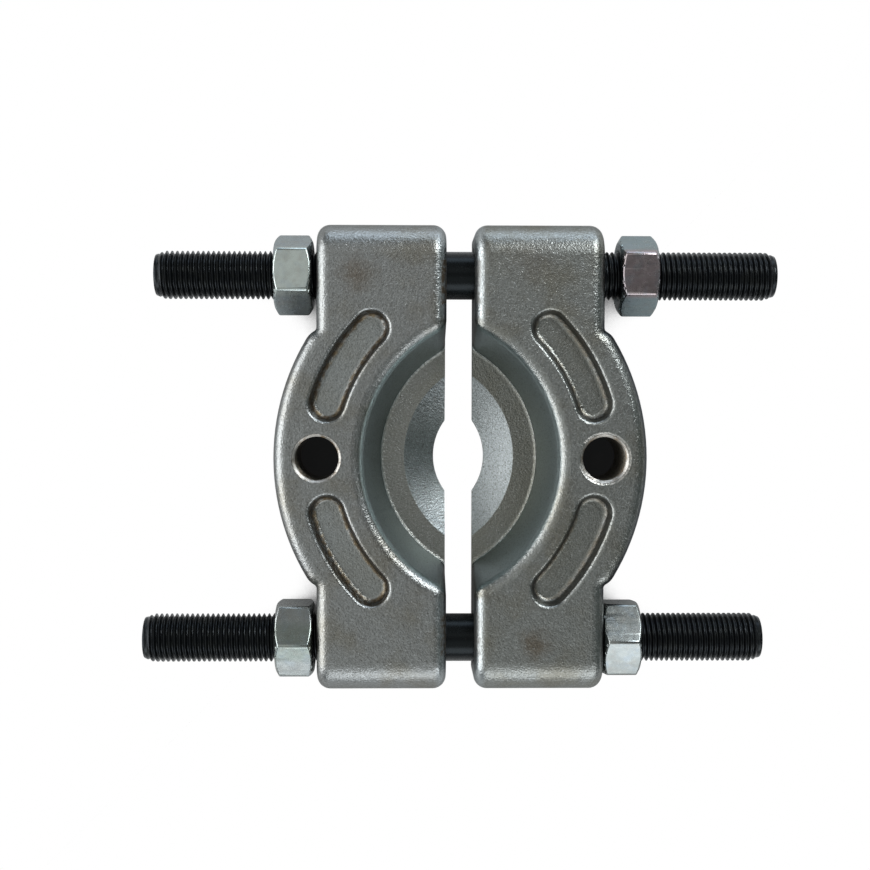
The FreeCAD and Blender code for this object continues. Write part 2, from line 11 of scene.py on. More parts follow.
import bmesh
import bpy
from mathutils import Euler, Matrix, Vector


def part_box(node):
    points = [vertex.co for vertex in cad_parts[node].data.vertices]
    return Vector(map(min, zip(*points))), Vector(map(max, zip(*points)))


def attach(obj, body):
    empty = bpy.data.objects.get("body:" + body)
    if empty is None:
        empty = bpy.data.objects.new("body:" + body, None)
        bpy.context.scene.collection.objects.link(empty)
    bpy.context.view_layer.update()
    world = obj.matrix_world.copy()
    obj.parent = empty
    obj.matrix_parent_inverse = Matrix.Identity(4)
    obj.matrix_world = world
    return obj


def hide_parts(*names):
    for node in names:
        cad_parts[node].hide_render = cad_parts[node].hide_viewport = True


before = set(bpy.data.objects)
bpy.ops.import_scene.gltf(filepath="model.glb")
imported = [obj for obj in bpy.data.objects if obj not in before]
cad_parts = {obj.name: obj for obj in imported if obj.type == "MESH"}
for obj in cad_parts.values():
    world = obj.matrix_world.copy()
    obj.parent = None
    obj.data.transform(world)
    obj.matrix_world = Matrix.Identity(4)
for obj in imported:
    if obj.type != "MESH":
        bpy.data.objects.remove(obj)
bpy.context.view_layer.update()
print("CAD nodes:", ", ".join(sorted(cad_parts)))

# %% [markdown]
# ## Sizes that the pieces share
# Blender measures in metres. Workshop sizes are easier to read in millimetres, so
# the script keeps them that way and multiplies by MM where Blender needs metres.
# The thickness and the place of the split face are read from the CAD box, so the
# looks follow the frame if it changes. The bowl of a half is turned about an axis
# 17 mm beyond its split face, and its puller hole is 54 mm from that axis. The halves
# stand apart in the picture, so each has an axis of its own.

# %% Sizes and places
MM = 0.001
AXIS_TO_SPLIT = 17.0
PULLER_HOLE = 54.0

half_low, half_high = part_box("half_right")
THICKNESS = half_high.z
SPLIT_FACE = half_low.x
BOWL_AXIS = SPLIT_FACE - AXIS_TO_SPLIT * MM
print(f"thickness {THICKNESS / MM:.1f} mm, split face at {SPLIT_FACE / MM:.2f} mm")

# %% [markdown]
# ## Writing node trees as expressions
# Both materials and Geometry Nodes are graphs. Adding each node and link by hand
# fills pages, so one small class wraps a socket: sums and products on it add Math
# nodes, and one method adds any other kind of node. The formula for a stain or for
# a thread can then be read as a formula.


# %% A socket that can be calculated with
class Wire:
    """One socket of a node tree. Expressions on wires add the Math nodes."""

    def __init__(self, tree, socket=None):
        self.tree = tree
        self.socket = socket

    def node(self, kind, settings, sockets, output=0):
        """Add a node: its settings first, then its sockets' values or links.

        A list of wires goes to one socket that takes several links.
        """
        made = self.tree.nodes.new(kind)
        for name, value in settings.items():
            setattr(made, name, value)
        for key, value in sockets.items():
            if isinstance(value, Wire):
                self.tree.links.new(value.socket, made.inputs[key])
            elif isinstance(value, list):
                for wire in value:
                    self.tree.links.new(wire.socket, made.inputs[key])
            else:
                made.inputs[key].default_value = value
        return Wire(self.tree, made.outputs[output] if len(made.outputs) else None)

    def also(self, output):
        """Another output of the same node."""
        return Wire(self.tree, self.socket.node.outputs[output])

    def math(self, operation, *others):
        """A Math node on this wire and the others."""
        values = dict(enumerate((self, *others)))
        return self.node("ShaderNodeMath", {"operation": operation}, values)

    def __add__(self, other):
        return self.math("ADD", other)

    def __sub__(self, other):
        return self.math("SUBTRACT", other)

    def __mul__(self, other):
        return self.math("MULTIPLY", other)

    def __truediv__(self, other):
        return self.math("DIVIDE", other)

    def __pow__(self, other):
        return self.math("POWER", other)

    __radd__ = __add__
    __rmul__ = __mul__

    def __rsub__(self, other):
        return self * -1.0 + other

    def at_most(self, other):
        return self.math("MINIMUM", other)

    def at_least(self, other):
        return self.math("MAXIMUM", other)

    def size(self):
        return self.math("ABSOLUTE")

    def rising(self, low, high):
        """0 below low, 1 above high, smooth between. Falls if low is the larger."""
        settings = {"interpolation_type": "SMOOTHSTEP"}
        limits = {"Value": self, "From Min": low, "From Max": high}
        return self.node("ShaderNodeMapRange", settings, limits)

    def above(self, edge, soft):
        """1 above the edge and 0 below it, blended over soft on either side."""
        return self.rising(edge - soft, edge + soft)

    def below(self, edge, soft):
        """1 below the edge and 0 above it, blended over soft on either side."""
        return self.rising(edge + soft, edge - soft)

    def toward(self, colour, factor):
        """This colour mixed with another one, by a factor from 0 to 1."""
        sockets = {0: factor, 6: self, 7: (*colour, 1)}
        return self.node("ShaderNodeMix", {"data_type": "RGBA"}, sockets, 2)


methods = [name for name in vars(Wire) if not name.startswith("_")]
print("methods of a wire:", ", ".join(methods))

# %% [markdown]
# ## The camera
# The photograph was taken from almost straight above, about 40 cm over the table.
# Looking down by 90 degrees is Blender's own rest direction for a camera, so only
# three small tilts are left. The place, the tilts and the focal length were fitted
# to the ends of the studs, the outline and the circles of the bowl in the picture.

# %% Camera
CAMERA_PLACE = (-14.22 * MM, 15.99 * MM, 408.75 * MM)
CAMERA_TILT = (-1.381, -1.020, 0.062)
camera_data = bpy.data.cameras.new("camera")
camera = bpy.data.objects.new("camera", camera_data)
bpy.context.scene.collection.objects.link(camera)
camera_data.sensor_width = 36.0
camera_data.lens = 55.97
camera_data.clip_start = 0.01
camera_data.clip_end = 20.0
camera.location = CAMERA_PLACE
tilt = [math.radians(angle) for angle in CAMERA_TILT]
camera.rotation_euler = Euler(tilt, "YXZ").to_matrix().to_euler()
bpy.context.scene.camera = camera
print(f"camera {camera.location.z:.3f} m above the table, lens {camera_data.lens} mm")

# %% [markdown]
# ## The table
# In the picture the tool lies on a white table. A flat square is enough for it, far
# larger than the view, so that its rim shows neither to the camera nor in the steel.
# It lies a hair under the tool, because two faces in one plane would flicker.

# %% Floor mesh
FLOOR_REACH = 6.0
FLOOR_DROP = 0.02 * MM
signs = [(-1, -1), (1, -1), (1, 1), (-1, 1)]
corners = [(x * FLOOR_REACH, y * FLOOR_REACH, -FLOOR_DROP) for x, y in signs]
floor_mesh = bpy.data.meshes.new("floor")
floor_mesh.from_pydata(corners, [], [(0, 1, 2, 3)])
floor = bpy.data.objects.new("floor", floor_mesh)
bpy.context.scene.collection.objects.link(floor)
print(f"floor: {2 * FLOOR_REACH:.0f} m square")

# %% [markdown]
# ## How a material starts
# A material is a node tree of its own. Blender puts a grey shader in each new one, and
# editing that would do, but an empty tree shows every node that counts. Most finishes
# below begin with two plain colours and a mask that says where each of them is.


# %% A new material, and two colours mixed
def new_material(name):
    """An empty material, and a wire with which its nodes are added."""
    material = bpy.data.materials.new(name)
    material.use_nodes = True
    material.node_tree.nodes.clear()
    return material, Wire(material.node_tree)


def mixed(start, factor, first, second):
    """Two plain colours mixed by a mask: the first at 0, the second at 1."""
    sockets = {0: factor, 6: (*first, 1), 7: (*second, 1)}
    return start.node("ShaderNodeMix", {"data_type": "RGBA"}, sockets, 2)


print(f"{len(bpy.data.materials)} plain materials came with the frame")

# %% [markdown]
# ## White to look at, plain to the light
# Strong lamps could make the floor white, but they would burn out the steel too. So
# the floor is plain pale paint for the light that lands on it, which keeps the
# tool's shadow, and a glow of strength 1 for the rays that look at it.
# Those rays come from the camera, and also from the steel: a polished face mirrors
# the table, white where it is far away and grey close to the tool. To the right the
# mirrored table stays grey, because the room is dark on that side.
# Ambient Occlusion measures how shut in a spot of the floor is. Down in the puller
# holes it is shut in on all sides, so the glow fades there and the holes look dark.
# The strip under the gap between the halves is left out of that and stays white.
# The paint's own colour is darkened by the same measure: painted shade in the holes
# and close to the tool.

# %% Floor material
SHUT_IN_PAINTED_SHADE, OPEN_PAINT = (0.02, 0.022, 0.025), (0.70, 0.70, 0.70)
SHUT_IN_REACH = 0.06
table_white, start = new_material("table_white")
ray = start.node("ShaderNodeLightPath", {}, {}, "Is Camera Ray")
mirrored = ray.also("Is Glossy Ray").at_least(ray.also("Is Transmission Ray"))
point = start.node("ShaderNodeTexCoord", {}, {}, "Object")
east = start.node("ShaderNodeSeparateXYZ", {}, {0: point}, "X")
away = start.node("ShaderNodeVectorMath", {"operation": "LENGTH"}, {0: point}, "Value")
openness = start.node(
    "ShaderNodeAmbientOcclusion", {"samples": 24}, {"Distance": SHUT_IN_REACH}, "AO"
)
glow = start.node("ShaderNodeEmission", {}, {"Color": (1, 1, 1, 1), "Strength": 1.0})
# painted shade: the paint's colour darkens where the floor is shut in
shade = mixed(start, openness.rising(0.08, 0.70), SHUT_IN_PAINTED_SHADE, OPEN_PAINT)
paint = start.node("ShaderNodeBsdfDiffuse", {}, {"Color": shade})
seen = openness.rising(0.14, 0.34).at_least(east.size().rising(0.027, 0.022))
far_white = away.rising(-0.10, 0.60) * east.rising(0.30, 0.04)
share = ray * seen.at_least(0.006) + mirrored * far_white
table = start.node("ShaderNodeMixShader", {}, {0: share, 1: paint, 2: glow})
start.node("ShaderNodeOutputMaterial", {}, {"Surface": table})
floor_mesh.materials.append(table_white)
print(f"{table_white.name}: {len(table_white.node_tree.nodes)} nodes")

# %% [markdown]
# ## Soft light from the left
# Steel shows its surroundings more than its own colour, so the lamps stand where the
# faces should mirror them. Edges that lean to the left are bright in the picture: a
# large soft box stands there. The rounded ends of the end blocks are a cool grey,
# from a bluish box behind and a paler one in front, both a little to the right. Two
# small lamps at the right make the blasted edges glitter round the bowl.
# One big lamp above would be simpler, but it would make every edge alike.
# An area lamp's power is its brightness times its area times pi, so each box is set
# by how bright it looks.

# %% Soft boxes
LAMPS_LOOK_AT = Vector((0, 0, 0.01))


def soft_box(name, place, width, height, brightness, colour):
    """A rectangular lamp that looks at the tool. Brightness 1 is white paper."""
    data = bpy.data.lights.new(name, "AREA")
    data.shape = "RECTANGLE"
    data.size, data.size_y = width, height
    data.energy = brightness * width * height * math.pi
    data.color = colour
    lamp = bpy.data.objects.new(name, data)
    bpy.context.scene.collection.objects.link(lamp)
    lamp.location = place
    aim = LAMPS_LOOK_AT - lamp.location
    lamp.rotation_euler = aim.to_track_quat("-Z", "Y").to_euler()
    print(f"{name}: {data.energy:.2f} W")


soft_box("left_box", (-0.85, 0.0, 0.31), 1.3, 0.62, 3.9, (0.97, 0.98, 1.0))
soft_box("rear_box", (0.20, 0.95, 0.21), 1.0, 0.38, 2.9, (0.76, 0.87, 1.0))
soft_box("front_box", (0.20, -0.90, 0.52), 1.2, 0.56, 2.8, (0.93, 0.965, 1.0))
soft_box("rear_sparkle", (0.385, 0.425, 0.482), 0.27, 0.31, 13.0, (0.93, 0.97, 1.0))
soft_box("front_sparkle", (0.38, -0.42, 0.48), 0.20, 0.20, 1.8, (1.0, 1.0, 1.0))

# %% [markdown]
# ## The room overhead
# The flat tops of the forgings mirror what is straight above the camera, and they
# are a middle grey, so the room is dim there. A photograph of a studio would be the
# usual sky, but this script reads no pictures. Patches of sky do the same work: each
# is a direction with two angles, up to which it is full and beyond which it is gone.
# The left is pale and the right is dark, which gives the right-hand edges their dark
# line. Three small patches belong to the nuts, whose flats are mirrors of their own.

# %% Room
world = bpy.data.worlds.new("room")
bpy.context.scene.world = world
world.use_nodes = True
world.node_tree.nodes.clear()
room = Wire(world.node_tree)
direction = room.node("ShaderNodeTexCoord", {}, {}, "Generated")
# A direction, the degrees to which it is full and beyond which it is gone, a colour.
SKY = [
    ((-1.0, 0.0, 0.80), (12.0, 40.0), (0.95, 0.98, 0.98)),
    ((-0.16, 0.28, 1.0), (5.0, 19.0), (0.98, 1.0, 0.98)),
    ((-0.05, -0.38, 1.0), (6.0, 26.0), (0.72, 0.75, 0.74)),
    ((0.30, 0.08, 1.0), (8.0, 22.0), (0.09, 0.08, 0.083)),
    ((1.0, 0.0, 0.35), (35.0, 65.0), (0.12, 0.145, 0.14)),
]


def patch(toward, inner, outer):
    """1 where the room is within inner degrees of a direction, 0 beyond outer."""
    aim = direction.node(
        "ShaderNodeVectorMath",
        {"operation": "DOT_PRODUCT"},
        {0: direction, 1: Vector(toward).normalized()},
        "Value",
    )
    edges = [math.cos(math.radians(angle)) for angle in (outer, inner)]
    return aim.rising(*edges)


overhead = patch((0.0, 0.0, 1.0), 20.0, 80.0)
tint = mixed(room, overhead, (0.20, 0.23, 0.25), (0.336, 0.338, 0.322))
for toward, angles, colour in SKY:
    tint = tint.toward(colour, patch(toward, *angles))
air = room.node("ShaderNodeBackground", {}, {"Color": tint, "Strength": 1.0})
room.node("ShaderNodeOutputWorld", {}, {"Surface": air})
bpy.context.scene.view_settings.view_transform = "Standard"
print(f"room: {len(SKY)} patches, {len(bpy.data.lights)} lamps")

# %% [markdown]
# ## Places and patterns
# All patterns read Object coordinates. They stay with the metal when it moves, and
# they count real distances: turned into millimetres from the bowl's axis, they let a
# stain or a scratch be put where it is on the real tool. UV maps would do this too,
# but the CAD meshes have none.


# %% Places on the steel
def millimetres(start):
    """Object coordinates, counted in mm."""
    point = start.node("ShaderNodeTexCoord", {}, {}, "Object")
    sockets = {0: point, "Scale": 1 / MM}
    return start.node("ShaderNodeVectorMath", {"operation": "SCALE"}, sockets)


def places(start, side):
    """Place in mm, and x and y from the bowl's axis and the height, as wires."""
    place = millimetres(start)
    x = start.node("ShaderNodeSeparateXYZ", {}, {0: place}, "X")
    y, z = x.also("Y"), x.also("Z")
    return place, x * side - BOWL_AXIS / MM, y, z


def noise(place, size, detail=2.0, roughness=0.55):
    """Noise from 0 to 1 whose lumps are about size mm wide."""
    sockets = {
        "Vector": place,
        "Scale": 1 / size,
        "Detail": detail,
        "Roughness": roughness,
    }
    return place.node("ShaderNodeTexNoise", {}, sockets)


def distance(x, y):
    """How far a place is from where x and y are counted."""
    return (x * x + y * y) ** 0.5


def spot(x, y, centre, radius, ragged):
    """A soft round stain: 1 in its middle, 0 outside, with a ragged edge."""
    away = distance(x - centre[0], y - centre[1])
    return (away + (ragged - 0.5) * radius * 1.2).rising(radius, 0.0)


print(f"x is counted from the bowl's axis, at {BOWL_AXIS / MM:.2f} mm on each side")

# %% [markdown]
# ## Grain is relief, not colour
# A drop forging is cleaned with steel shot, which leaves a fine, even grain that
# glitters on every rounded edge. Painted specks would not glitter. Noise of two sizes
# therefore raises and lowers the surface by up to a tenth of a millimetre, as bump,
# because real bumps of that size would need millions of faces.
# The cone under the knife edge is ground after blasting, and has a third and finer
# noise. On the left half the wheel touched only the middle of the cone, and towards
# its two ends the dark blasted skin is left and glitters.
# Every metal in this scene ends in the same way, with its colour, its gloss and its
# relief, so one helper closes them all. A smooth metal turns into a mirror at a flat
# glance, but rough steel does not, because its bumps stand in each other's light. The
# shader's Specular Tint, which for a metal is its shine at 82 degrees, is lowered.


# %% Grain, and how a metal is closed
def blasted_height(place, ground):
    """Height of the grain in mm: shot-blasted, or ground where ground is 1."""
    coarse = noise(place, 1.2, 1.0) * 0.085
    fine = noise(place, 0.46, 1.0) * 0.105
    finer = noise(place, 0.26, 1.0) * 0.06
    return coarse * (1 - ground) + fine * (1 - ground * 0.7) + finer * ground


def close_metal(start, colour, metallic, gloss, relief, glance=0.6):
    """The shader of a metal. relief is in mm, glance its shine at a flat glance."""
    bump = start.node(
        "ShaderNodeBump", {}, {"Strength": 1.0, "Distance": MM, "Height": relief}
    )
    sockets = {
        "Base Color": colour,
        "Metallic": metallic,
        "Roughness": gloss,
        "Specular Tint": (glance, glance, glance, 1),
        "Normal": bump,
    }
    shader = start.node("ShaderNodeBsdfPrincipled", {}, sockets)
    start.node("ShaderNodeOutputMaterial", {}, {"Surface": shader})
    print(f"a metal of {len(start.tree.nodes)} nodes")


# %% [markdown]
# ## Zones of a half plate
# One forging has several surfaces: the blasted top, the bowl's smooth wall, the flat
# land, the cone that is ground down to the knife edge, pockets with dirt at the foot
# of their walls, and a bare ring where the drill for the thread was countersunk.
# They could be separate materials, but the CAD node is a single mesh with one slot.
# Each zone is instead a mask, made from the distance to the bowl's axis and from the
# height, with the edge that the forging has and a softness to either side of it.
# The flank is the outside of the flange below its edge, which is darkened as a
# painted shade, and the split edge is rubbed pale where the two halves meet.

# %% Where the zones end, in mm
CONE_RIM, LAND_RIM, BOWL_RIM, FLANGE_RIM = 29.2, 36.0, 42.0, 61.0
LAND_HEIGHT = 5.2
POCKET_MIDDLE, POCKET_HALF_WIDTH, POCKET_DEPTH = 53.4, 5.95, 4.265
print(f"cone to {CONE_RIM}, land to {LAND_RIM}, wall to {BOWL_RIM} mm from the axis")


# %% Masks of the bowl, the flange and the split edge
def bowl_zones(x, y, z):
    """Masks from 0 to 1 by name, from the place on a half plate in mm."""
    top = THICKNESS / MM
    radius = distance(x, y)
    cone = radius.below(CONE_RIM, 0.15) * z.below(LAND_HEIGHT, 0.1) * z.above(0.4, 0.1)
    shelf = radius.below(LAND_RIM, 0.2) * radius.above(CONE_RIM, 0.15)
    wall = radius.below(BOWL_RIM, 0.4) * z.above(LAND_HEIGHT + 0.5, 0.5)
    wall = wall * z.below(top - 1.3, 0.7) * x.above(AXIS_TO_SPLIT + 0.6, 0.3)
    flange = radius.above(FLANGE_RIM, 1.0) * y.size().below(40.0, 2.0)
    return {
        "cone": cone,
        "cone_ends": cone * y.size().above(14.0, 7.0),
        "land": shelf * z.below(LAND_HEIGHT + 0.25, 0.15),
        "wall": wall,
        "flank": flange * (top - z).above(1.15, 0.65),
        "split_edge": x.below(AXIS_TO_SPLIT + 2.5, 1.0) * radius.above(44.0, 1.0),
    }


# %% Masks of the pockets and the puller hole
def pocket_zones(x, y, z):
    """Masks of a pocket's floor, its wall and the foot of the wall."""
    depth = THICKNESS / MM - z
    radius = distance(x, y)
    band = (radius - POCKET_MIDDLE).size().below(POCKET_HALF_WIDTH, 0.25)
    sunk = band * depth.above(0.65, 0.35) * depth.below(4.95, 0.25)
    bottom = sunk * depth.above(POCKET_DEPTH, 0.115)
    foot = sunk * depth.above(POCKET_DEPTH - 0.715, 0.35)
    return {
        "pocket_floor": bottom,
        "pocket_wall": sunk * (1 - bottom),
        "pocket_foot": foot * depth.below(POCKET_DEPTH + 0.1, 0.035),
    }


def hole_zones(place, x, y, mouth):
    """Mask of the bare ring round the puller hole, and the countersink's depth."""
    from_hole = distance(x - PULLER_HOLE, y)
    ragged = from_hole + noise(place, 1.3, 2.0) * 0.4 - 0.2
    ring = ragged.below(mouth, 0.1)
    return {"ring": ring, "countersink": ring * (mouth - from_hole)}


# %% [markdown]
# ## Coats of colour
# The steel is a cool grey under a thin film of oil, which gathers in large warm
# clouds. On it lie brown stains, the dark and bright specks of the blasting, and
# dirt and rust at the feet of the pocket walls.
# Each colour is laid over the last one through a mask, as thin coats of paint are, so
# the order counts: the specks lie on the zones, and the dirt lies on the specks.
# A colour ramp could hold these colours too, but coats can be moved and read one by
# one. Those that both halves share have a name here, as pots on a shelf have. OIL is
# how much of the red, the green and the blue the film of oil lets through.

# %% Pots of colour
OIL = (0.82, 0.76, 0.66)
BROWN_STAIN = (0.13, 0.095, 0.06)
WALL_STEEL, LAND_STEEL = (0.365, 0.425, 0.425), (0.19, 0.19, 0.165)
BLASTED_SKIN, RUBBED_STEEL = (0.085, 0.095, 0.10), (0.36, 0.39, 0.40)
FRECKLE, BRIGHT_SPECK = (0.10, 0.092, 0.08), (0.50, 0.52, 0.52)
# the second of these is a painted shade for the flange's outer side
DARK_SPECK, FLANK_PAINTED_SHADE = (0.10, 0.095, 0.085), (0.05, 0.055, 0.06)
DIRT, RUST = (0.075, 0.055, 0.035), (0.18, 0.14, 0.085)
BARE_STEEL = (0.46, 0.44, 0.41)
print(f"bare steel is {BARE_STEEL}, and the dirt on it {DIRT}")


# %% Colour of a forging
def forging_colour(start, place, x, y, zone, look):
    """The coats of one half plate, from its steel to its dirt, and the dirt's mask."""
    film, grime = look["film"], look["grime"]
    warm = tuple(part * share for part, share in zip(film, OIL))
    freckle = noise(place, 0.75, 2.0, 0.7)
    speck = noise(place, 0.45, 1.0)
    oily = noise(place, 16.0, 3.0).rising(0.42, 0.68)
    steel = mixed(start, oily * 0.8, film, warm)
    for centre, size, strength in look["stains"]:
        mark = spot(x, y, centre, size, noise(place, 5.0, 4.0))
        steel = steel.toward(BROWN_STAIN, mark * strength)
    steel = steel.toward(WALL_STEEL, zone["wall"] * 0.85)
    steel = steel.toward(LAND_STEEL, zone["land"] * 0.6)
    # painted shade and painted light: each half's cone gets its own colour, darker on
    # the left half and brighter on the right
    steel = steel.toward(look["cone"], zone["cone"] * 0.9)
    rough = zone["cone_ends"] * look["rough_ends"]
    steel = steel.toward(BLASTED_SKIN, rough * 0.75)
    steel = steel.toward(RUBBED_STEEL, zone["split_edge"] * 0.7)
    steel = steel.toward(look["pocket"], zone["pocket_floor"] * 0.5)
    steel = steel.toward(FRECKLE, freckle.rising(0.52, 0.80) * 0.50)
    steel = steel.toward(BRIGHT_SPECK, speck.rising(0.54, 0.80) * 0.38)
    dark_share = zone["cone"] * 0.35 + 0.38
    steel = steel.toward(DARK_SPECK, speck.rising(0.48, 0.25) * dark_share)
    # painted shade on the outer side of the flange, strongest on the right half
    steel = steel.toward(FLANK_PAINTED_SHADE, zone["flank"] * look["flank"])
    dirt = zone["pocket_wall"] * noise(place, 1.8, 3.0).rising(0.30, 0.62) * grime
    steel = steel.toward(DIRT, dirt)
    rust = zone["pocket_foot"] * noise(place, 2.4, 3.0).rising(0.40, 0.66) * grime
    steel = steel.toward(RUST, rust * 0.7)
    bare = zone["ring"] * noise(place, 0.9, 2.0).rising(0.30, 0.62)
    return steel.toward(BARE_STEEL, bare * 0.75), dirt


# %% [markdown]
# ## Gloss and relief of a forging
# The zones differ in polish too: the wall is smoothest, the land is dull, and dirt is
# duller still. The same masks serve for that, so a zone's colour, gloss and grain end
# at the same line. The countersink is a slope in the relief: the mouth of the hole is
# nearly sharp in CAD, and the slope makes its ring catch the light from one side.


# %% A forging's finish
def forging_finish(name, look):
    """Shot-blasted steel, with one half plate's own colours and stains."""
    material, start = new_material(name)
    place, x, y, z = places(start, look["side"])
    zone = bowl_zones(x, y, z) | pocket_zones(x, y, z)
    zone |= hole_zones(place, x, y, look["mouth"])
    steel, dirt = forging_colour(start, place, x, y, zone, look)
    wall, cone, land = zone["wall"], zone["cone"], zone["land"]
    gloss = 0.27 + noise(place, 2.5, 2.0) * 0.12
    gloss = gloss - wall * 0.02 + cone * 0.02 + land * 0.06
    ground = cone * 0.92 - zone["cone_ends"] * look["rough_ends"]
    grain = blasted_height(place, ground) * (1 - wall * 0.70 + land * 0.4)
    relief = grain - zone["countersink"] * 0.35
    close_metal(start, steel, 1.0, gloss + dirt * 0.25, relief)
    return material


# %% [markdown]
# ## Two halves with a past
# Both halves come from the same die, but they are not alike. The left one is lighter,
# with dirty pockets. The right one has a wider countersink. Their cones are given
# different colours, darker on the left and brighter on the right, which is painted
# shade and painted light on two copies of one ground steel. The right half's flank
# gets a much stronger painted shade than the left one's. One function with a table of
# looks gives both, where two copies of the material would soon drift apart.

# %% Looks of the two halves
HALVES = {
    "half_left": {
        "side": -1,
        "film": (0.238, 0.245, 0.241),
        # the left cone's colour is darkened: painted shade
        "cone": (0.172, 0.190, 0.188),
        "rough_ends": 0.90,
        "pocket": (0.32, 0.34, 0.335),
        "grime": 0.95,
        # painted shade on the flank, light on this half
        "flank": 0.30,
        "mouth": 7.1,
        "stains": [((42.5, 52.5), 7.5, 0.60)],
    },
    "half_right": {
        "side": 1,
        "film": (0.224, 0.232, 0.222),
        # the right cone's colour is lightened: painted light
        "cone": (0.290, 0.315, 0.320),
        "rough_ends": 0.0,
        "pocket": (0.195, 0.20, 0.18),
        "grime": 0.45,
        # painted shade on the flank, strong on this half, whose flank faces the dark
        # right side
        "flank": 0.95,
        "mouth": 7.6,
        "stains": [((34.2, -53.2), 7.0, 0.65), ((33.0, 56.0), 10.0, 0.25)],
    },
}
for node, look in HALVES.items():
    finish = forging_finish(node.replace("half", "forging"), look)
    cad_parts[node].material_slots[0].material = finish
print("forging finish on", ", ".join(HALVES))

# %% [markdown]
# ## Zinc-plated nuts
# Bright zinc is smooth and slightly blue, and mirrors the room, so each flat of a nut
# has its own grey. Tumbling in the plating drum leaves soft dents and fine clouds,
# which are low bumps and slow noise here. The passivation that seals the zinc dries
# as a thin film with a tint of green or brown. The flats that lie on top get a colour
# of their own, mixed in by height: the film's tint, with a painted reflection that
# makes each nut's top lighter or darker.
# One zinc for all would be simpler, but the four nuts differ plainly in colour.


# %% Zinc plate
TINT_AND_PAINTED_REFLECTION_HEIGHT = (20.5, 22.3)
# A colour, the size of its clouds in mm, and how strongly they cover.
NUT_CLOUDS = [
    ((0.22, 0.20, 0.18), 2.2, 0.28),
    ((0.25, 0.30, 0.35), 3.4, 0.30),
    ((0.36, 0.37, 0.34), 1.3, 0.20),
]


def zinc_finish(name, shift, base, tint_and_painted_reflection):
    """Zinc plate. shift moves the patterns, so no two nuts look alike."""
    material, start = new_material(name)
    place = millimetres(start)
    height = start.node("ShaderNodeSeparateXYZ", {}, {0: place}, "Z")
    settings = {"operation": "ADD"}
    place = start.node("ShaderNodeVectorMath", settings, {0: place, 1: shift})
    # painted reflection: the top flats get a colour of their own, lighter or darker
    # than the zinc
    film = noise(place, 9.0, 2.0).rising(0.20, 0.45) * height.rising(*TINT_AND_PAINTED_REFLECTION_HEIGHT)
    plate = mixed(start, film, base, tint_and_painted_reflection)
    for colour, lump, strength in NUT_CLOUDS:
        cloud = noise(place, lump, 3.0).rising(0.46, 0.72)
        plate = plate.toward(colour, cloud * strength)
    gloss = 0.20 + noise(place, 1.6, 3.0) * 0.12
    dents = noise(place, 2.6, 1.0) * 0.035 + noise(place, 0.45, 1.0) * 0.003
    close_metal(start, plate, 1.0, gloss, dents, 0.8)
    return material


# %% Colours of the four nuts: the zinc, and the colour of its top flats, a tint with painted reflection
NUT_COLOURS = {
    "nut_left_rear": ((0.285, 0.32, 0.325), (0.385, 0.425, 0.405)),
    "nut_left_front": ((0.335, 0.353, 0.344), (0.26, 0.292, 0.267)),
    "nut_right_rear": ((0.221, 0.270, 0.282), (0.30, 0.255, 0.262)),
    "nut_right_front": ((0.20, 0.212, 0.205), (0.245, 0.263, 0.258)),
}
for number, (node, colours) in enumerate(NUT_COLOURS.items()):
    shift = (31.0 * number, 7.0, 3.0)
    finish = zinc_finish(node.replace("nut", "zinc"), shift, *colours)
    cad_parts[node].material_slots[0].material = finish
print("zinc on", ", ".join(NUT_COLOURS))

# %% [markdown]
# ## Worn edges on the nuts
# Spanners and the plating drum have rounded the edges of the nuts, and each edge
# catches a bright line of light. A Bevel modifier rounds them by a third of a
# millimetre and leaves the CAD mesh itself alone.
# CAD hands over each face with points of its own, and a bevel finds no edge between
# faces that only touch. So a Weld modifier comes first and joins those points.

# %% Weld and bevel
EDGE_WEAR = 0.32 * MM
for node in NUT_COLOURS:
    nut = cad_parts[node]
    whole = nut.modifiers.new("one_skin", "WELD")
    whole.merge_threshold = 0.002 * MM
    worn = nut.modifiers.new("worn_edges", "BEVEL")
    worn.width, worn.segments = EDGE_WEAR, 3
    worn.use_clamp_overlap = False
    worn.limit_method, worn.angle_limit = "ANGLE", math.radians(25.0)
    worn.harden_normals = True
print(f"edges rounded by {EDGE_WEAR / MM:.2f} mm")

# %% [markdown]
# ## Black oxide
# The studs are blackened in boiling salts and then oiled. The layer is thin, so it
# stays glossy where the steel is: nearly black, with a low metallic sheen on the
# thread's crests and long soft lines on the plain shank. Plain black plastic would
# be as dark, but its highlights would be white instead of steel grey.
# The shank in the middle was turned, not cut, so it is smoother and darker.

# %% The studs' material
black_oxide, start = new_material("black_oxide")
place = millimetres(start)
along = start.node("ShaderNodeSeparateXYZ", {}, {0: place}, "X").size()
shank = along.rising(31.0, 29.5)
film = noise(place, 2.2, 3.0).rising(0.40, 0.70)
oxide = mixed(start, film, (0.014, 0.016, 0.018), (0.022, 0.024, 0.024))
oxide = oxide.toward((0.009, 0.011, 0.012), shank)
rubbed = noise(place, 0.6, 2.0).rising(0.66, 0.80)
oxide = oxide.toward((0.05, 0.05, 0.048), rubbed * 0.4)
gloss = 0.28 + noise(place, 1.2, 2.0) * 0.08 - shank * 0.05
close_metal(start, oxide, 0.88, gloss, noise(place, 0.7, 2.0) * 0.002, 1.0)

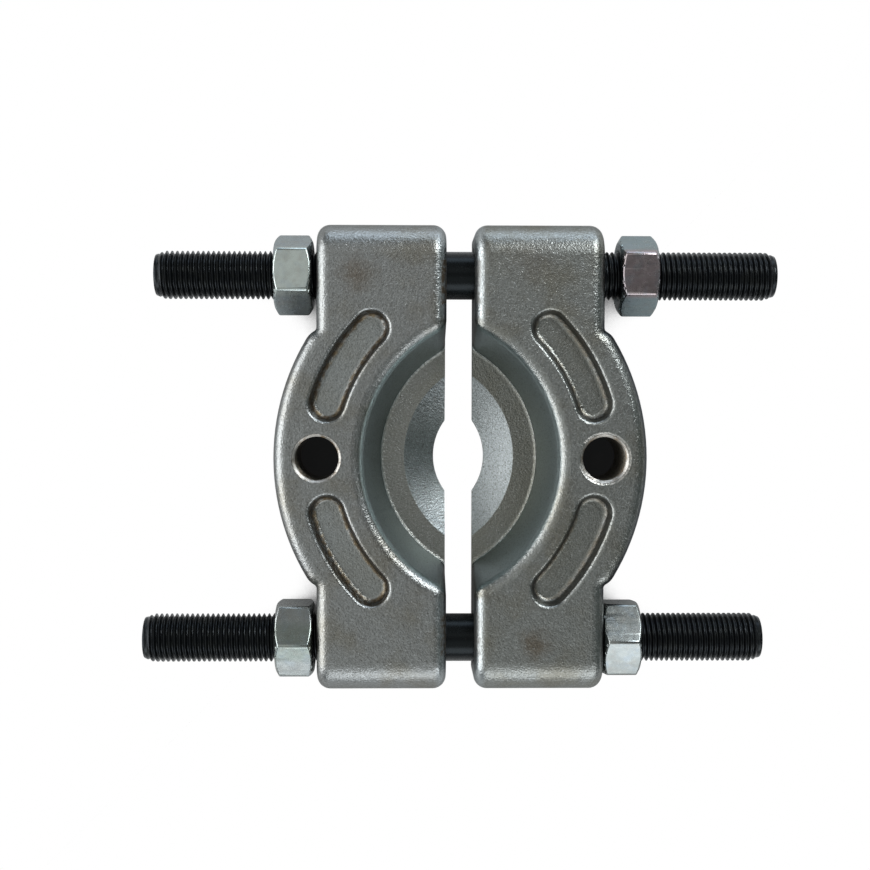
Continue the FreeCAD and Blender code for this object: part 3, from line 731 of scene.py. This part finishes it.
# %% [markdown]
# ## The thread
# A screw thread follows a rule, so Geometry Nodes cut it. A flat grid is wrapped
# round an axis: one direction goes once round, the other runs along the axis. Each
# row of points is shifted by one pitch on its way round, so the row itself is the
# helix and the crest stays sharp. Five rows make one turn: both sides of the crest,
# both sides of the root and the middle of the root.
# Rows that would stand out past an end are pressed onto it, and Merge by Distance
# removes what has no width left and closes the seam.
# The sizes are named inputs, so the same rows serve the studs and the puller holes.
# The fades are how far the groove takes to reach its depth at either end. Start Radius
# and Start Slope turn a blunt point, and Mouth Radius opens both mouths of a hole.

# %% Inputs of a thread, and the rows of one turn
THREAD_LENGTHS = (
    "Length",
    "Pitch",
    "Crest Radius",
    "Root Radius",
    "Start Radius",
    "Start Slope",
    "Start Fade",
    "End Fade",
    "Mouth Radius",
)
THREAD_INPUTS = {label: "NodeSocketFloat" for label in THREAD_LENGTHS}
THREAD_INPUTS |= {"Turns": "NodeSocketInt", "Steps Round": "NodeSocketInt"}
ROWS_IN_TURN = 5
ROW_PLACE = (0.0, 0.125, 0.4375, 0.5625, 0.6875)
ROW_DEPTH = (0.0, 0.0, 0.94, 1.0, 0.94)
PITCH = 1.5 * MM
print(f"{ROWS_IN_TURN} rows in each pitch of {PITCH / MM} mm")

# %% [markdown]
# ## Wrapping a grid round an axis
# Two helpers make every round shape below. One gives a flat grid and tells each of
# its points in which row it stands and which share of the way round it has gone. The
# other sets the points to their place and radius. A tube is then a grid of two rows,
# and a thread a grid of some hundreds. A curve with a profile would make tubes too,
# but the rows of a thread need a radius of their own at each point.
# Points are numbered row by row, so a division and a Floor give the row. NUDGE keeps
# a whole number that came out a hair too small from falling to the one below.


# %% A tree with named inputs
def new_tree(name, inputs):
    """An empty Geometry Nodes tree, and a wire for each of its named inputs."""
    tree = bpy.data.node_groups.new(name, "GeometryNodeTree")
    add = tree.interface.new_socket
    add("Geometry", in_out="OUTPUT", socket_type="NodeSocketGeometry")
    for label, kind in inputs.items():
        add(label, in_out="INPUT", socket_type=kind)
    given = tree.nodes.new("NodeGroupInput")
    return tree, {label: Wire(tree, given.outputs[label]) for label in inputs}


def choose(index, values):
    """The value that belongs to a number: the first at 0, the next at 1."""
    settings = {"data_type": "FLOAT"}
    made = index.node("GeometryNodeIndexSwitch", settings, {0: index})
    switch = made.socket.node
    while len(switch.index_switch_items) < len(values):
        switch.index_switch_items.new()
    for number, value in enumerate(values, start=1):
        switch.inputs[number].default_value = value
    return made


# %% Wrapped grids
NUDGE = 0.001


def wrapped_grid(given, rows):
    """A grid, each point's row number, and its share of the way round."""
    steps = given["Steps Round"]
    across = steps + 1
    sheet = steps.node(
        "GeometryNodeMeshGrid", {}, {"Vertices X": rows, "Vertices Y": across}
    )
    index = steps.node("GeometryNodeInputIndex", {}, {})
    row = (index / across + NUDGE).math("FLOOR")
    return sheet, row, (index - row * across) / steps


def put_round(sheet, place, radius, share):
    """Put each point of a grid at its place along X, radius and share of a turn."""
    angle = share * (2 * math.pi)
    y, z = radius * angle.math("COSINE"), radius * angle.math("SINE")
    point = sheet.node("ShaderNodeCombineXYZ", {}, {"X": place, "Y": y, "Z": z})
    sockets = {"Geometry": sheet, "Position": point}
    return sheet.node("GeometryNodeSetPosition", {}, sockets)


# %% Rows of a thread
def thread_rows(given):
    """The grid of points of a thread, wrapped into a helix along X."""
    turns, length, pitch = given["Turns"], given["Length"], given["Pitch"]
    sheet, row, share = wrapped_grid(given, (turns + 3) * ROWS_IN_TURN + 1)
    turn = (row / ROWS_IN_TURN + NUDGE).math("FLOOR")
    inner = row - turn * ROWS_IN_TURN
    place = (turn + choose(inner, ROW_PLACE) + share - 2.0) * pitch
    place = place.at_least(0.0).at_most(length)
    fade = (place / given["Start Fade"]).at_most((length - place) / given["End Fade"])
    depth = choose(inner, ROW_DEPTH) * (given["Crest Radius"] - given["Root Radius"])
    radius = given["Crest Radius"] - depth * fade.at_most(1.0)
    radius = radius.at_most(given["Start Radius"] + place * given["Start Slope"])
    mouth = given["Mouth Radius"]
    funnel = (mouth - place).at_least(mouth - (length - place))
    return put_round(sheet, place, radius.at_least(funnel), share)


# %% [markdown]
# ## Joining, closing and shading
# Every tree ends in the same way. Its pieces are joined, and points that lie together
# are made one, so that no seam stays open. Set Shade Smooth then keeps an edge sharp
# where its two faces meet at more than 30 degrees, so crests look crisp and the
# turning looks round. Realize Instances and Set Material come last, because the
# export keeps real faces only.

# %% What a tree does with its pieces
SEAM = 0.004 * MM
SHARP_ANGLE = math.radians(30.0)


def joined(*pieces):
    """Several geometries as one."""
    return pieces[0].node("GeometryNodeJoinGeometry", {}, {0: list(pieces)})


def welded(mesh):
    """The same mesh with the points of each seam made one."""
    return mesh.node("GeometryNodeMergeByDistance", {}, {0: mesh, "Distance": SEAM})


def crisp(mesh):
    """Smooth shading, with edges left sharp where faces meet at a large angle."""
    angle = mesh.node("GeometryNodeInputMeshEdgeAngle", {}, {})
    settings = {"data_type": "FLOAT"}
    steep = mesh.node("FunctionNodeCompare", settings, {0: angle, 1: SHARP_ANGLE})
    smooth = mesh.node("GeometryNodeSetShadeSmooth", {}, {0: mesh, 2: True})
    sockets = {0: smooth, 1: steep, 2: False}
    return mesh.node("GeometryNodeSetShadeSmooth", {"domain": "EDGE"}, sockets)


def moved(mesh, shift, turn=(0.0, 0.0, 0.0)):
    """A geometry turned about the origin and then shifted."""
    sockets = {"Geometry": mesh, "Translation": shift, "Rotation": turn}
    return mesh.node("GeometryNodeTransform", {}, sockets)


def finish_tree(mesh, material):
    """Realize Instances, Set Material, and the tree's output."""
    real = mesh.node("GeometryNodeRealizeInstances", {}, {0: mesh})
    sockets = {"Geometry": real, "Material": material}
    made = mesh.node("GeometryNodeSetMaterial", {}, sockets)
    made.node("NodeGroupOutput", {}, {0: made})


print(f"points within {SEAM / MM:.3f} mm become one")

# %% [markdown]
# ## The studs
# Each stud is threaded from both ends and left plain in the middle, where the half
# plates slide. One half is built, then turned round for the other end, because a
# mirrored thread would be left-handed. The ends are closed with a disc, which is a
# tube of no length whose radius grows from nothing.


# %% A tube between two places on the axis
def tube(given, start_place, end_place, start_radius, end_radius):
    """The open side of a cylinder or cone round X."""
    sheet, row, share = wrapped_grid(given, 2)
    place = start_place + (end_place - start_place) * row
    radius = start_radius + (end_radius - start_radius) * row
    return put_round(sheet, place, radius, share)


# %% The stud tree
STUD_INPUTS = THREAD_INPUTS | {
    "Half Length": "NodeSocketFloat",
    "Shank Radius": "NodeSocketFloat",
    "Step": "NodeSocketFloat",
    "Place": "NodeSocketVector",
    "Material": "NodeSocketMaterial",
}
stud_tree, given = new_tree("threaded_stud", STUD_INPUTS)
length, half_length = given["Length"], given["Half Length"]
crest, turned = given["Crest Radius"], given["Shank Radius"]
nothing = length * 0.0
shank_start = length + given["Step"]
pieces = joined(
    tube(given, nothing, nothing, nothing, given["Start Radius"]),
    thread_rows(given),
    tube(given, length, shank_start, crest, turned),
    tube(given, shank_start, half_length, turned, turned),
)
back = length.node("ShaderNodeCombineXYZ", {}, {"X": half_length * -1.0})
half_stud = moved(pieces, back)
other_half = moved(half_stud, (0.0, 0.0, 0.0), (0.0, 0.0, math.pi))
whole = crisp(welded(joined(half_stud, other_half)))
finish_tree(moved(whole, given["Place"]), given["Material"])
print(f"{stud_tree.name}: {len(stud_tree.nodes)} nodes")

# %% [markdown]
# ## From a tree to a plain mesh
# The export takes plain meshes. So each tree is put on a blank object, given its
# sizes by the sockets' identifiers, and run. new_from_object copies what it made, and
# the blank goes again.
# A wrapped grid can come out with its faces turned inwards, so the normals are worked
# out anew. No edge may be left open: only a closed piece has an inside.


# %% Run a tree
def run_tree(name, tree, sizes):
    """The plain mesh that a tree makes from the given sizes."""
    blank = bpy.data.objects.new(name + "_blank", bpy.data.meshes.new(name + "_blank"))
    bpy.context.scene.collection.objects.link(blank)
    modifier = blank.modifiers.new("grow", "NODES")
    modifier.node_group = tree
    for item in tree.interface.items_tree:
        if item.in_out == "INPUT":
            size = sizes[item.name]
            is_place = isinstance(size, Vector)
            modifier[item.identifier] = tuple(size) if is_place else size
    bpy.context.view_layer.update()
    evaluated = blank.evaluated_get(bpy.context.evaluated_depsgraph_get())
    mesh = bpy.data.meshes.new_from_object(evaluated)
    mesh.name = name
    blank.modifiers.remove(modifier)
    bpy.data.objects.remove(blank)
    return mesh


# %% A piece from a tree
def grow(name, tree, sizes):
    """A piece whose mesh a tree has made, with its faces turned outwards."""
    mesh = run_tree(name, tree, sizes)
    shell = bmesh.new()
    shell.from_mesh(mesh)
    bmesh.ops.recalc_face_normals(shell, faces=shell.faces)
    open_edges = sum(not edge.is_manifold for edge in shell.edges)
    shell.to_mesh(mesh)
    shell.free()
    piece = bpy.data.objects.new(name, mesh)
    bpy.context.scene.collection.objects.link(piece)
    mesh.calc_loop_triangles()
    print(f"{name}: {len(mesh.loop_triangles)} triangles, {open_edges} open edges")
    return piece


# %% [markdown]
# ## Two studs, M14 x 1.5
# Both studs are the same piece, so one table of sizes serves them, and only the place
# differs. It is read from the box of the CAD stud that the piece stands for. The ends
# are turned down to a blunt point, so that a nut finds the thread.

# %% Two studs
CREST, ROOT = 7.0 * MM, 6.08 * MM
THREAD, STUD_HALF = 60.0 * MM, 90.0 * MM
POINT_DEPTH, POINT_LENGTH = 1.05 * MM, 2.6 * MM
STUD_SIZES = {
    "Length": THREAD,
    "Pitch": PITCH,
    "Crest Radius": CREST,
    "Root Radius": ROOT,
    "Start Radius": CREST - POINT_DEPTH,
    "Start Slope": POINT_DEPTH / POINT_LENGTH,
    "Start Fade": 0.1 * MM,
    "End Fade": 2.0 * MM,
    "Mouth Radius": 0.0,
    "Turns": round(THREAD / PITCH),
    "Steps Round": 64,
    "Half Length": STUD_HALF,
    "Shank Radius": CREST - 0.05 * MM,
    "Step": 0.4 * MM,
    "Material": black_oxide,
}


def box_middle(node):
    """Middle of a CAD node's box at rest."""
    low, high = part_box(node)
    return (low + high) / 2


for node in ("stud_rear", "stud_front"):
    sizes = STUD_SIZES | {"Place": box_middle(node)}
    stud = grow(node + "_threaded", stud_tree, sizes)
    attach(stud, "studs")
    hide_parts(node)

# %% [markdown]
# ## Threads in the puller holes
# The two holes through the flange take the puller's screws, so they are tapped.
# CAD bores them to the thread's root. The ridges that stand inside are a sleeve:
# helical on the inside, and on the outside a hair larger than the bore, so that it
# sits in the steel and shows no gap. Its mouth is a funnel, as a countersink leaves
# it, whose bare steel is the bright ring round each hole.

# %% The tapped sleeve
SLEEVE_INPUTS = THREAD_INPUTS | {
    "Wall Radius": "NodeSocketFloat",
    "Place": "NodeSocketVector",
    "Material": "NodeSocketMaterial",
}
sleeve_tree, given = new_tree("tapped_sleeve", SLEEVE_INPUTS)
length, bore, wall = given["Length"], given["Crest Radius"], given["Wall Radius"]
nothing = length * 0.0
sleeve = joined(
    thread_rows(given),
    tube(given, nothing, nothing, bore, wall),
    tube(given, nothing, length, wall, wall),
    tube(given, length, length, bore, wall),
)
sleeve = crisp(welded(sleeve))
upright = moved(sleeve, (0.0, 0.0, 0.0), (0.0, -math.pi / 2, 0.0))
finish_tree(moved(upright, given["Place"]), given["Material"])
print(f"{sleeve_tree.name}: {len(sleeve_tree.nodes)} nodes")

# %% [markdown]
# ## Steel inside the holes
# Freshly cut steel is brighter than the forging, and oil and dirt stay in a thread as
# brown patches. Lower down the colour is darkened nearly to black, a painted shade of
# the deep hole. So the colour follows the height: bare and patchy at the mouth,
# painted shade in the depth.

# %% Tapped steel
tapped_steel, start = new_material("tapped_steel")
place = millimetres(start)
depth = THICKNESS / MM - start.node("ShaderNodeSeparateXYZ", {}, {0: place}, "Z")
stain = noise(place, 2.0, 3.0).rising(0.4, 0.7)
steel = mixed(start, stain, (0.24, 0.23, 0.21), (0.15, 0.11, 0.07))
bare, painted_shade_deep = depth.rising(1.1, 0.7), depth.rising(1.2, 5.0)
# painted shade: darker towards the bottom of the hole
steel = steel.toward((0.045, 0.04, 0.03), painted_shade_deep * 0.85)
patchy = noise(place, 1.4, 3.0).rising(0.28, 0.62)
steel = steel.toward(BARE_STEEL, bare * patchy * 0.85)
gloss = 0.36 + noise(place, 0.8, 2.0) * 0.15
relief = noise(place, 0.5, 2.0) * (0.008 + bare * 0.05)
close_metal(start, steel, 1.0, gloss, relief)

# %% A thread in each hole
SIDES = {"left": -1, "right": 1}
BORE, CHAMFER = 7.0 * MM, 0.1 * MM
SLEEVE_LENGTH = THICKNESS - 2 * CHAMFER
SLEEVE_SIZES = {
    "Length": SLEEVE_LENGTH,
    "Pitch": PITCH,
    "Crest Radius": BORE - 0.02 * MM,
    "Root Radius": 6.2 * MM,
    "Start Radius": 2 * BORE,
    "Start Slope": 0.0,
    "Start Fade": 0.05 * MM,
    "End Fade": 0.05 * MM,
    "Mouth Radius": 6.85 * MM,
    "Turns": math.ceil(SLEEVE_LENGTH / PITCH),
    "Steps Round": 56,
    "Wall Radius": BORE + 0.02 * MM,
    "Material": tapped_steel,
}
for body, side in SIDES.items():
    place = Vector((side * (BOWL_AXIS + PULLER_HOLE * MM), 0.0, CHAMFER))
    thread = grow(f"puller_thread_{body}", sleeve_tree, SLEEVE_SIZES | {"Place": place})
    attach(thread, body)
